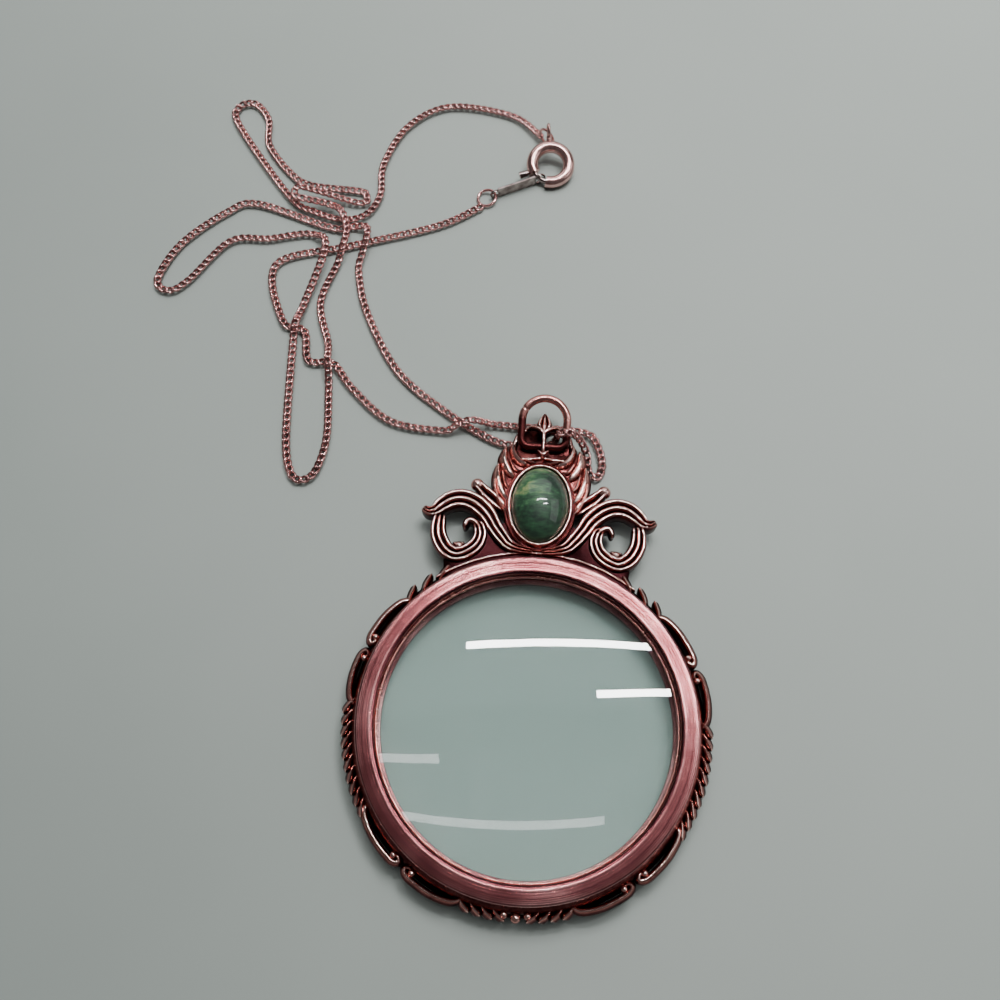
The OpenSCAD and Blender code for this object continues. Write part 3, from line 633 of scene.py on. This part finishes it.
def makeArms(shape):
    # Ribbed arm, the ribbed volute below it, its bud, and three lumps in the volute's eye
    top = back + crown["armHigh"]
    armHalf, voluteHalf = crown["armWide"] / 2, crown["voluteWide"] / 2
    arm = [(0.03, 0.08, 0.34), (0.13, 0.1, 0.42), (0.24, 0.17, 0.6), (0.31, 0.32, 0.74),
           (0.38, 0.52, 0.8), (0.44, 0.72, 0.9), (0.54, 0.91, 0.97), (0.65, 1, 1), (0.75, 0.97, 0.96),
           (0.83, 0.86, 0.84), (0.89, 0.74, 0.62), (0.95, 0.72, 0.48), (1, 0.8, 0.3)]
    shape.both(*band(rowsAt(armAt, arm, armHalf, back + 0.1, top), 3, 0.7, 10, curve=0.6, rub=4.5))
    volute = [(0.835, 0.72, 0.7), (0.85, 0.5, 0.9), (0.84, 0.28, 1), (0.78, 0.05, 1),
              (0.69, -0.06, 0.95), (0.595, 0, 0.92), (0.52, 0.14, 0.9), (0.49, 0.32, 0.84),
              (0.505, 0.48, 0.72), (0.55, 0.58, 0.5)]
    path = rowsAt(armAt, volute, voluteHalf, back + 0.15, top - 0.2)
    shape.both(*band(path, 3, 0.7, 10, curve=0.6, rub=4.5))
    bud = [(0.5, 0.5, 0.42), (0.56, 0.6, 0.46), (0.61, 0.58, 0.42), (0.63, 0.45, 0.3)]
    shape.both(*band(rowsAt(armAt, bud, voluteHalf, back + 0.2, top - 0.3), 1, 0.5, 10))
    for u, v, size in ((0.665, 0.13, 0.8), (0.635, 0.17, 0.42), (0.7, 0.16, 0.4)):
        shape.both(*ball((*armAt(u, v), back + 0.9), size, 0.85))


def makeHorns(shape):
    # Short grooved horn on each side of the stone, with a ball at its tip
    rows = [(0.74, -0.06, 0.7), (0.9, 0.02, 1.15), (1.12, 0.1, 1.15), (1.27, 0.165, 0.95),
            (1.35, 0.2, 0.75)]
    horn = rowsAt(topAt, rows, 1, back + 0.25, back + 2.1)
    shape.both(*band(horn, 2, 0.8, 12, (True, False), rub=4))
    shape.both(*ball((*topAt(1.35, 0.2), back + 1.25), 1.0, 0.95))


def makeBlades(shape):
    # Three folded blades on each side, each a little lower than the one nearer the stem
    blades = [[(0.3, 0.41, 0.45), (0.5, 0.46, 0.85), (0.64, 0.55, 0.8), (0.66, 0.66, 0.3)],
              [(0.56, 0.27, 0.55), (0.74, 0.36, 1), (0.84, 0.48, 0.9), (0.8, 0.61, 0.35)],
              [(0.68, 0.03, 0.6), (0.86, 0.14, 1), (0.95, 0.29, 0.85), (0.94, 0.44, 0.3)]]
    for k, rows in enumerate(blades):
        high = back + 2.5 - 0.15 * k
        path = rowsAt(topAt, rows, 1, back + 0.3, high)
        shape.both(*band(path, 1, 1.1, 10, curve=0.9, crestAt=0.62, rub=1))
    # small curled leaves in the gaps between the stone, the blades and the horn
    curls = [[(0.1, 0.44, 0.22), (0.24, 0.46, 0.34), (0.42, 0.49, 0.2)],
             [(0.4, 0.36, 0.2), (0.56, 0.37, 0.36), (0.7, 0.47, 0.22)],
             [(0.66, 0.16, 0.2), (0.76, 0.22, 0.34), (0.84, 0.36, 0.2)],
             [(0.7, -0.08, 0.25), (0.86, 0.02, 0.42), (0.98, 0.16, 0.36), (0.99, 0.27, 0.2)]]
    for rows in curls:
        path = rowsAt(topAt, rows, 1, back + 1.2, back + 2.2)
        shape.both(*band(path, 1, 0.7, 10, curve=0.9, crestAt=0.6, rub=1.4))


def makeEyes(shape):
    # Round each eye a lip, a wall and a brow, as rows of place, half width, underside and top. In it a
    # floor, painted dark as shade in the eye, which on the right has the hole that the chain comes through.
    # Between the eyes two nubs, the stem over the bail's lower bar, and the finial.
    high = crown["stemHigh"]
    lip = [(0.03, 0.509, 0.3, 0, 2.1), (0.23, 0.495, 0.3, 0, 2.1), (0.46, 0.49, 0.3, 0, 2.1),
           (0.6, 0.53, 0.3, 0, 1.6)]
    wall = [(0.62, 0.56, 0.5, 0, 1.2), (0.62, 0.67, 0.38, 0, 0.95), (0.54, 0.78, 0.36, 0, 0.95),
            (0.36, 0.845, 0.36, 0, 0.95)]
    brow = [(0, 0.775, 0.4, 1.6, high), (0.12, 0.82, 0.44, 1.3, high - 0.1),
            (0.26, 0.848, 0.42, 0.5, high - 0.7), (0.4, 0.85, 0.34, 0, 0.98)]
    for rows, ends in ((lip, (False, True)), (wall, (True, True)), (brow, (False, True))):
        path = [(*topAt(u, v), w, back + 0.48 + a, back + b) for u, v, w, a, b in rows]
        shape.both(*band(path, 1, 0.5, 8, ends))
    corners = [(-0.05, 0.5), (0.6, 0.5), (0.66, 0.62), (0.6, 0.75), (0.4, 0.86), (0.15, 0.85),
               (-0.05, 0.84)]
    outline = [topAt(u, v) for u, v in corners]
    floorLow, floorTop = back - 0.03, bailLow - bail["wire"] / 2 - bail["gap"]
    # painted shade: both floors get a low value so that the eyes read dark
    shape.add(plate(outline, floorLow, floorTop, 0.05) * [-1, 1, 1], 0.2)
    shape.add(pierced(outline, topAt(0.25, 0.752), (1.35, 1.05), floorLow, floorTop), 0.2, ring=True)
    nub = [(-0.13, 0.585, 0.16), (-0.06, 0.56, 0.24), (0, 0.535, 0.3)]
    shape.both(*band(rowsAt(topAt, nub, 1, back + 1.2, back + 2.5), 1, 0.4, 8, (True, False)))
    stem = [(0.885, 0.5, 0.6, high - 0.2), (0.8, 0.4, 1.55, high), (0.7, 0.3, 1.6, high),
            (0.6, 0.3, 1.6, high - 0.05), (0.56, 0.4, 0, high - 0.3), (0.5, 0.5, 0, 2)]
    shape.add(*band([(*topAt(0, v), w, back + 0.54 + a, back + b) for v, w, a, b in stem], 1, 0.32))
    finial = [(0.8, 0.4, 1.4, high - 0.3), (0.87, 1.15, 0.5, high - 0.3), (0.94, 0.78, 0.45, high - 0.4),
              (1, 0.14, 0.5, high - 0.7)]
    path = [(*topAt(0, v), w, back + a, back + b) for v, w, a, b in finial]
    shape.add(*band(path, 3, 0.5, 10, (False, False)))


def makeSetting(shape):
    # Oval wall round the stone: outwards from the rim's outer edge, height, and how polished it is there
    top, rim = back + stone["rimHigh"], -stone["rimWide"]
    wall = [(0.5, back, 0), (0.55, back + 0.4, 0.05), (0.52, top - 1.15, 0.2), (0.44, top - 0.9, 0.6),
            (0.34, top - 0.84, 0.6), (0.24, top - 0.92, 0.12), (0.12, top - 0.9, 0.1),
            (0.0, top - 0.6, 0.25), (-0.14, top - 0.2, 0.5), (-0.22, top - 0.03, 0.9), (-0.3, top, 1),
            (-0.4, top - 0.05, 0.85), (rim, top - 0.22, 0.4), (rim, seatZ, 0.05)]
    rows = [(rimOut[0] + d, rimOut[1] + d, z) for d, z, worn in wall]
    shine = np.array([worn for d, z, worn in wall])[:, None]
    shape.add(ovals(rows, centre=(0, stoneY)), shine)


def makeWeb(shape):
    # Plates that close the gaps under the arms and under the blades, and a rolled line along the hoop. The
    # plate
    # under the arms is nearly black: painted shade in the gaps.
    foot = hoopOut - 0.5
    corner = (0.76 * crown["armReach"], foot * 0.8)
    right = [corner] + [armAt(u, v) for u, v in [(0.79, 0.02), (0.66, -0.1), (0.54, 0.05), (0.46, 0.4),
                                                 (0.3, 0.6), (0, 0.6)]]
    turn = np.linspace(math.atan2(*corner), 0, 18)[1:]
    inside = [(foot * math.sin(t), foot * math.cos(t)) for t in turn]
    # a value below zero paints this plate nearly black, as shade under the arms
    shape.both(plate(right + inside[::-1], back + 0.55, back + 0.55 + crown["webThick"], 0.05), -0.2)
    corners = [(0, 0.35), (0.6, -0.05), (0.78, 0.06), (0.94, 0.26), (0.93, 0.42), (0.78, 0.58), (0.6, 0.57),
               (0.2, 0.555), (0, 0.555)]
    shape.both(plate([topAt(u, v) for u, v in corners], back + 0.6, back + 1.6, 0.05), 0.3)
    rows = [(t, 0.3, 0.26) for t in np.arange(0, 37, 6)]
    line = rowsAt(borderAt, rows, 1, back + 1.0, back + 2.05)
    shape.both(*band(line, 1, 0.4, 8, (False, True), rub=4))


def makeCasting():
    # All of the casting's parts in one mesh
    shape = Shape()
    for part in (makeHoop, makeBorder, makeArms, makeHorns, makeBlades, makeEyes, makeSetting, makeWeb):
        part(shape)
    makePiece("cast_frame", shape, castFinish, "casting", sharp=50)


def makeStone():
    # Oval stone: a flat base, a low straight wall, and a dome that follows the oval
    base = seatZ + 0.05
    edge = base + stone["rimHigh"] - (seatZ - back) - 0.3
    dome = domeRows(stone["wide"] / 2, stone["dome"], 28)
    rows = [(stone["wide"] / 2, base), (stone["wide"] / 2, edge - 0.1)] + [(r, edge + h) for r, h in dome]
    grid = ovals([(r, r * stone["long"] / stone["wide"], z) for r, z in rows], centre=(0, stoneY))
    makePiece("oval_stone", Shape().add(grid), stoneFinish, "cabochon")


makeCasting()
makeStone()


# Bail

def makeBail():
    # Stirrup: half a circle on two legs, round corners and a lower bar. It is one path that starts and
    # ends at the cut.
    wire, corner = bail["wire"] / 2, bail["corner"]
    across = (bail["wide"] - bail["wire"]) / 2
    leg = bail["long"] - bail["wire"] - corner - across

    def bend(cx, cy, r, start, stop, n):
        # Part of a circle about cx, cy, between two angles in degrees
        a = np.radians(np.linspace(start, stop, n))
        return np.stack([cx + r * np.cos(a), cy + r * np.sin(a), 0 * a], 1)

    path = np.vstack([
        bend(0, corner + leg, across, bail["cut"] - 1, 0, 40),
        bend(across - corner, corner, corner, 0, -90, 12),
        bend(corner - across, corner, corner, 270, 180, 12),
        bend(0, corner + leg, across, 180, bail["cut"] + 1, 10)])
    tilt = Matrix.Rotation(math.radians(bail["tilt"]), 4, "X")
    place = Matrix.Translation((*topAt(0, bail["at"]), bailLow)) @ tilt
    radius = np.full(len(path), wire)
    radius[[0, -1]] *= 0.93  # the cut ends are a little filed down
    # painted shade: bright over the top, darker down the legs, more on the left, and darkest at the lower
    # bar under the crown
    shine = np.clip((path[:, 1] - leg + 0.3 * path[:, 0]) / 4, 0, 1)[:, None] ** 0.7
    shape = Shape().add(move(tube(path, radius, 20), place), shine)
    makePiece("stirrup_bail", shape, wireFinish, "bail")


makeBail()


# Chain

chain = {"pitch": 1.1, "wire": 0.235, "half": 0.75, "wide": 0.46, "twist": 38.0, "lean": 10.0,
         "drop": 0.012, "start": 0.1}
low, over = 0.72, 2.25  # heights of the chain on the table, and where it crosses itself
hump = bailLow + 1.95  # and where it goes over the bail
chainRoute = [
    (-3.8, 102.7, 1.05), (-9, 107, low), (-20, 108.3, low), (-27, 103.5, low), (-30.5, 95, low),
    (-30.4, 88.4, low), (-32.2, 84.2, low), (-36, 82.7, low), (-41.2, 84, low), (-46, 87, low),
    (-57, 101.5, low), (-57.6, 105.6, low), (-54.8, 106.4, low), (-52, 103, low), (-51, 97.5, low),
    (-46.5, 91.8, low), (-42.5, 89.4, low), (-33.8, 88.7, low), (-32.7, 87.5, low), (-33.8, 86.3, low),
    (-43.2, 87.7, over), (-44.6, 87, over), (-44.6, 86, over), (-43.2, 85.4, over + 0.1),
    (-38.8, 85.2, 1.4), (-36.2, 83.2, over + 0.1), (-34.9, 79.5, over), (-35.2, 76.4, over),
    (-36, 73.5, low), (-37.7, 66, low), (-35.4, 58.5, 1.2), (-34.8, 55, over + 0.05), (-34.3, 50.5, low),
    (-33.5, 42, low), (-34.4, 36.5, low), (-36.2, 34.7, low), (-38.2, 35.8, low), (-39.8, 42, low),
    (-41, 58.5, 1.3), (-40.8, 61.2, over + 0.1), (-40.3, 65.5, 1), (-38, 76.1, over + 0.05),
    (-41, 79.4, low), (-48, 78, low), (-54.5, 77, low), (-60, 69, low), (-63, 66.7, low),
    (-65.2, 68.8, low), (-62.5, 76, low), (-56, 82.8, low), (-51, 84.9, low), (-38, 80.9, low),
    (-34.2, 81.4, low), (-31.8, 80.9, 1.6), (-31.4, 78.4, over + 0.1), (-32, 75.6, 1.2), (-32.2, 72.5, low),
    (-30, 65, low), (-24, 54.6, low), (-16, 48, low), (-7.5, 43.2, low), (-2, 42.6, low),
    (0.7, 42.9, 0.75), (1.6, 43.15, 1.5), (1.85, 43.3, 2.7), (2.2, 43.35, hump - 0.5), (3.4, 43.4, hump),
    (4.6, 43.4, hump - 0.5), (5.9, 42.9, 2.4), (6.8, 41.6, 1), (7, 39.6, low), (7.6, 38.3, low),
    (8.7, 38.4, low), (9.2, 40.4, low), (8.3, 43.6, low), (6, 45.6, low), (-4, 45.9, low), (-7.6, 46, low),
    (-9.9, 45.9, 1.8), (-11.6, 45.7, over + 0.1), (-13.4, 45.2, 1.8), (-15.8, 44.4, low), (-24, 45.5, low),
    (-30.5, 50.7, low), (-34.2, 55, low), (-38.2, 55.3, low), (-39.6, 60.6, low), (-43.4, 62.3, low),
    (-46, 73, low), (-34, 77.5, low), (-20, 82.5, low), (-13.2, 86.8, low)]


def linkShape(rows=14, sides=6):
    # One link: an oval loop whose plane twists from end to end, so that the next link lies through it
    u = 2 * np.pi * np.arange(rows) / rows
    turn = np.radians(chain["twist"]) * np.cos(u) + np.radians(chain["lean"])
    y = chain["wide"] * np.sin(u)
    middle = np.stack([chain["half"] * np.cos(u), y * np.cos(turn), y * np.sin(turn)], 1)
    ahead = headings(middle, closed=True)
    out = unit(middle - ahead * np.sum(middle * ahead, 1, keepdims=True))
    return middle[:, None] + chain["wire"] * spokes(out, np.cross(ahead, out), sides)


def makeChain():
    # One link's grid at every point of the route, turned along it
    path = smoothPath(chainRoute, 12)
    path[:, 2] = np.maximum(path[:, 2], low) - chain["drop"]
    at = evenPath(path, chain["pitch"], chain["start"])
    ahead = headings(at)
    basis = np.stack([ahead, *squareTo(ahead)], 1)
    links = np.einsum("kmc,lcd->lkmd", linkShape(), basis) + at[:, None, None]
    print("links", len(at))
    shape = Shape().add(links, ring=True)
    makePiece("curb_chain", shape, chainFinish, "chain", sharp=70)


makeChain()


# Clasp, tag and jump rings

clasp = {"at": (-1.6, 95.7), "turn": 7.0, "outer": 8.3, "tube": 2.0, "mouth": 46.0, "mouthAt": 229.0,
         "latch": 0.9, "tail": 30, "tip": 7, "knob": 1.5, "knobBack": 8, "eye": 2.7, "neck": 0.5,
         "dip": 0.85}
jump = {"outer": 3.6, "wire": 0.5, "split": 3.0, "endTurn": -40.0, "endGrip": 78.0, "tagTilt": 12.0}
tag = {"long": 9.2, "high": 2.0, "thick": 0.36, "turn": 26.0, "low": 0.05, "end": 0.9,
       "narrows": 3.4}

claspR = (clasp["outer"] - clasp["tube"]) / 2
eyeOff = clasp["outer"] / 2 + clasp["neck"] + clasp["eye"] / 2
# the eye hangs on the standing jump ring, so the clasp is tilted
eyeRise = jump["outer"] + clasp["eye"] / 2 - clasp["dip"] - clasp["tube"] / 2 - jump["wire"]
claspTilt = math.asin(eyeRise / (claspR + eyeOff))
claspZ = clasp["tube"] / 2 + claspR * math.sin(claspTilt)
atClasp = (Matrix.Translation((*clasp["at"], claspZ)) @ Matrix.Rotation(math.radians(clasp["turn"]), 4, "Z")
           @ Matrix.Rotation(claspTilt, 4, "X"))
jumpR = (jump["outer"] - jump["wire"]) / 2


def upright(turn):
    # Stands a flat piece on its edge and turns it about Z
    return Matrix.Rotation(math.radians(turn), 4, "Z") @ Matrix.Rotation(math.pi / 2, 4, "X")


def makeJumpRing(name, splitAt, place, node):
    # One turn of round wire, but for the split
    gap = jump["split"] / 2
    grid = arc(jumpR, jump["wire"] / 2, splitAt + gap, splitAt + 360 - gap, 64, 12)
    makePiece(name, Shape().add(move(grid, place), 0.7), chainFinish, node)


def makeClasp():
    # Round ring with rolled lips at its open mouth, a waisted neck and a wire eye. The curved latch runs
    # inside the ring and across the mouth, and its thumb knob stands out.
    section, reach, eyeOut = clasp["tube"] / 2, clasp["outer"] / 2, clasp["eye"] / 2
    start, stop = clasp["mouthAt"] + clasp["mouth"] / 2, clasp["mouthAt"] - clasp["mouth"] / 2 + 360
    body = Shape().add(move(arc(claspR, section, start, stop, 120, 24), atClasp), 0.7)
    for angle in (start + 1.2, stop - 1.2):
        body.add(move(arc(claspR, section + 0.03, angle - 1.1, angle + 1.1, 6, 24), atClasp), 0.9)
    neck = np.array([[0, y, 0] for y in np.linspace(reach - 0.4, eyeOff - eyeOut + 0.25, 8)])
    waist = 0.45 + 0.12 * np.cos(np.linspace(0, 2 * np.pi, 8)) ** 2
    body.add(move(tube(neck, waist, 16), atClasp))
    wire = clasp["eye"] * 0.1
    eye = move(arc(eyeOut - wire, wire, 0, 360, 49, 14)[:-1], Matrix.Rotation(math.pi / 2, 4, "Y"))
    body.add(move(eye + [0, eyeOff, 0], atClasp), 0.7, ring=True)
    makePiece("spring_ring", body, claspFinish, "clasp_body")
    tail, tip = start - clasp["mouth"] - clasp["tail"], start + clasp["tip"]
    pin = arc(claspR, clasp["latch"] / 2, tail, tip, 60, 16)
    latch = Shape().add(move(pin, atClasp))
    knobAt = clasp["mouthAt"] - clasp["mouth"] / 2 - clasp["knobBack"]
    atKnob = atClasp @ Matrix.Rotation(math.radians(knobAt), 4, "Z")
    end = reach + clasp["knob"]
    out = [(claspR, 0.32), (reach + 0.1, 0.32), (reach + 0.14, 0.5), (reach + 0.5, 0.53), (end - 0.2, 0.6),
           (end + 0.02, 0.6), (end + 0.1, 0.45)]
    path, radius = np.array([[x, 0, 0] for x, r in out]), np.array([r for x, r in out])
    latch.add(move(tube(path, radius, 20), atKnob))
    makePiece("sprung_latch", latch, steelFinish, "clasp_latch", body="latch")


def makeTag():
    # Thin bar on its edge with a washer at each end: one round the latch's pin, one for the jump ring
    mouth = math.radians(clasp["mouthAt"] + clasp["turn"])
    pinOff = np.array([math.cos(mouth), math.sin(mouth) * math.cos(claspTilt)])
    pin = clasp["at"] + claspR * pinOff
    pinZ = claspZ + claspR * math.sin(mouth) * math.sin(claspTilt)
    turn = 180 + tag["turn"]
    place = Matrix.Translation((*pin, 0)) @ upright(turn)
    base, half = tag["low"], tag["thick"] / 2
    top, end = base + tag["high"], tag["long"] - 1
    grip, hole = pinZ - base, clasp["latch"] / 2 + 0.3
    shape = Shape()

    def washer(x, y, inner, outer):
        # Flat ring with rounded edges
        ring = rounded([(inner, -half), (outer, -half), (outer, half), (inner, half)], 0.08, 3)
        shape.add(move(turned(ring, 48) + [x, y, 0], place), 0.8, ring=True)

    washer(0, pinZ, hole, grip)
    washer(end, base + tag["end"], jump["wire"] / 2 + 0.28, tag["end"])
    outline = [(hole + 0.05, base), (end - 0.5, base), (end - 0.5, top), (tag["narrows"], top),
               (0.8, base + 2 * grip - 0.15), (hole + 0.05, base + 2 * grip - 0.1)]
    shape.add(move(plate(outline, -half, half, 0.06), place), 0.8)
    makePiece("flat_tag", shape, steelFinish, "tag")
    # the jump ring nearly lies on the table, lifted at the tag's hole
    along, tilt = math.radians(turn), math.radians(jump["tagTilt"])
    at = pin + (end + jumpR) * np.array([math.cos(along), math.sin(along)])
    atRing = (Matrix.Translation((*at, base + tag["end"] - jumpR * math.sin(tilt)))
              @ Matrix.Rotation(math.radians(tag["turn"]), 4, "Z") @ Matrix.Rotation(-tilt, 4, "Y"))
    makeJumpRing("tag_jump_ring", 100, atRing, "tag_ring")


def makeEndRing():
    # Jump ring that stands on its edge and passes through the clasp's eye
    turn, along = math.radians(clasp["turn"]), math.radians(jump["endTurn"])
    eyeAt = clasp["at"] + eyeOff * math.cos(claspTilt) * np.array([-math.sin(turn), math.cos(turn)])
    aside = jumpR * math.cos(math.radians(jump["endGrip"]))
    at = eyeAt - aside * np.array([math.cos(along), math.sin(along)])
    place = Matrix.Translation((*at, jump["outer"] / 2 + 0.02)) @ upright(jump["endTurn"])
    makeJumpRing("end_jump_ring", 250, place, "end_ring")


makeClasp()
makeTag()
makeEndRing()


# Floor and light

# the table's tones near and far, between which its painted light falls off
floor = {"size": 4.0, "near": (0.13, 0.152, 0.141), "far": (0.3, 0.328, 0.305)}
panels = {
    # place in metres, width, depth, power, and whether surfaces mirror it. They face the lens's middle,
    # and none is seen through the glass.
    "fillPanel": ((-0.05, 0.35, 1.1), 1.1, 0.9, 10.0, False),
    "keyPanel": ((0.15, 0.55, 0.8), 0.3, 0.2, 4.5, False),
    "farPanel": ((-0.05, 0.75, 0.55), 1.2, 0.5, 2.4, True),
    "sidePanel": ((0.68, 0.08, 0.46), 0.6, 0.45, 0.85, True),
}
strips = {
    # place in metres, turn about Z in degrees, length, width and power. They face down, and the lens
    # mirrors them in both of its faces.
    "longStrip": ((0.059, 0.213, 0.5), 5.5, 0.312, 0.013, 1.7),
    "shortStrip": ((0.179, 0.142, 0.5), 9.1, 0.134, 0.012, 0.7),
}
room = {"colour": (0.95, 0.93, 0.95), "strength": 0.1}


def makeFloor():
    # Flat square with painted light: its tone grows lighter to the far right and darker towards the near
    # left
    half = floor["size"] / 2
    mesh = bpy.data.meshes.new("floor")
    corners = [(-half, -half, 0), (half, -half, 0), (half, half, 0), (-half, half, 0)]
    mesh.from_pydata(corners, [], [(0, 1, 2, 3)])
    f = Finish("paleTable")
    x, y, z = f.parts()
    # painted light: lighter with distance and to the right, with a little random variation
    tone = (y * 1.6 + x * 2.2 + 0.42 + (f.noise(14, 3) - 0.5) * 0.25).clamp()
    colour = f.ramp(tone, [(0.0, floor["near"]), (1.0, floor["far"])])
    f.fill(f.shader, {"Base Color": colour, "Roughness": 0.6})
    mesh.materials.append(f.material)
    obj = bpy.data.objects.new("floor", mesh)
    bpy.context.scene.collection.objects.link(obj)


def makeLight(name, at, facing, wide, deep, power, mirrored, seenThrough):
    # Rectangle of light, and whether surfaces mirror it and glass lets it through to the camera
    data = bpy.data.lights.new(name, "AREA")
    data.shape, data.size, data.size_y, data.energy = "RECTANGLE", wide, deep, power
    obj = bpy.data.objects.new(name, data)
    obj.visible_glossy, obj.visible_transmission = mirrored, seenThrough
    obj.matrix_world = Matrix.Translation(at) @ facing
    bpy.context.scene.collection.objects.link(obj)


def makeLights():
    # The panels, the ceiling's two strips and the room's own dim light
    for name, (at, wide, deep, power, mirrored) in panels.items():
        facing = (-Vector(at)).to_track_quat("-Z", "Y").to_matrix().to_4x4()
        makeLight(name, at, facing, wide, deep, power, mirrored, False)
    for name, (at, turn, wide, deep, power) in strips.items():
        makeLight(name, at, Matrix.Rotation(math.radians(turn), 4, "Z"), wide, deep, power, True, True)
    world = bpy.data.worlds.new("room")
    bpy.context.scene.world = world
    world.use_nodes = True
    background = world.node_tree.nodes["Background"]
    background.inputs["Color"].default_value = (*room["colour"], 1)
    background.inputs["Strength"].default_value = room["strength"]


makeFloor()
makeLights()
print("stage set")
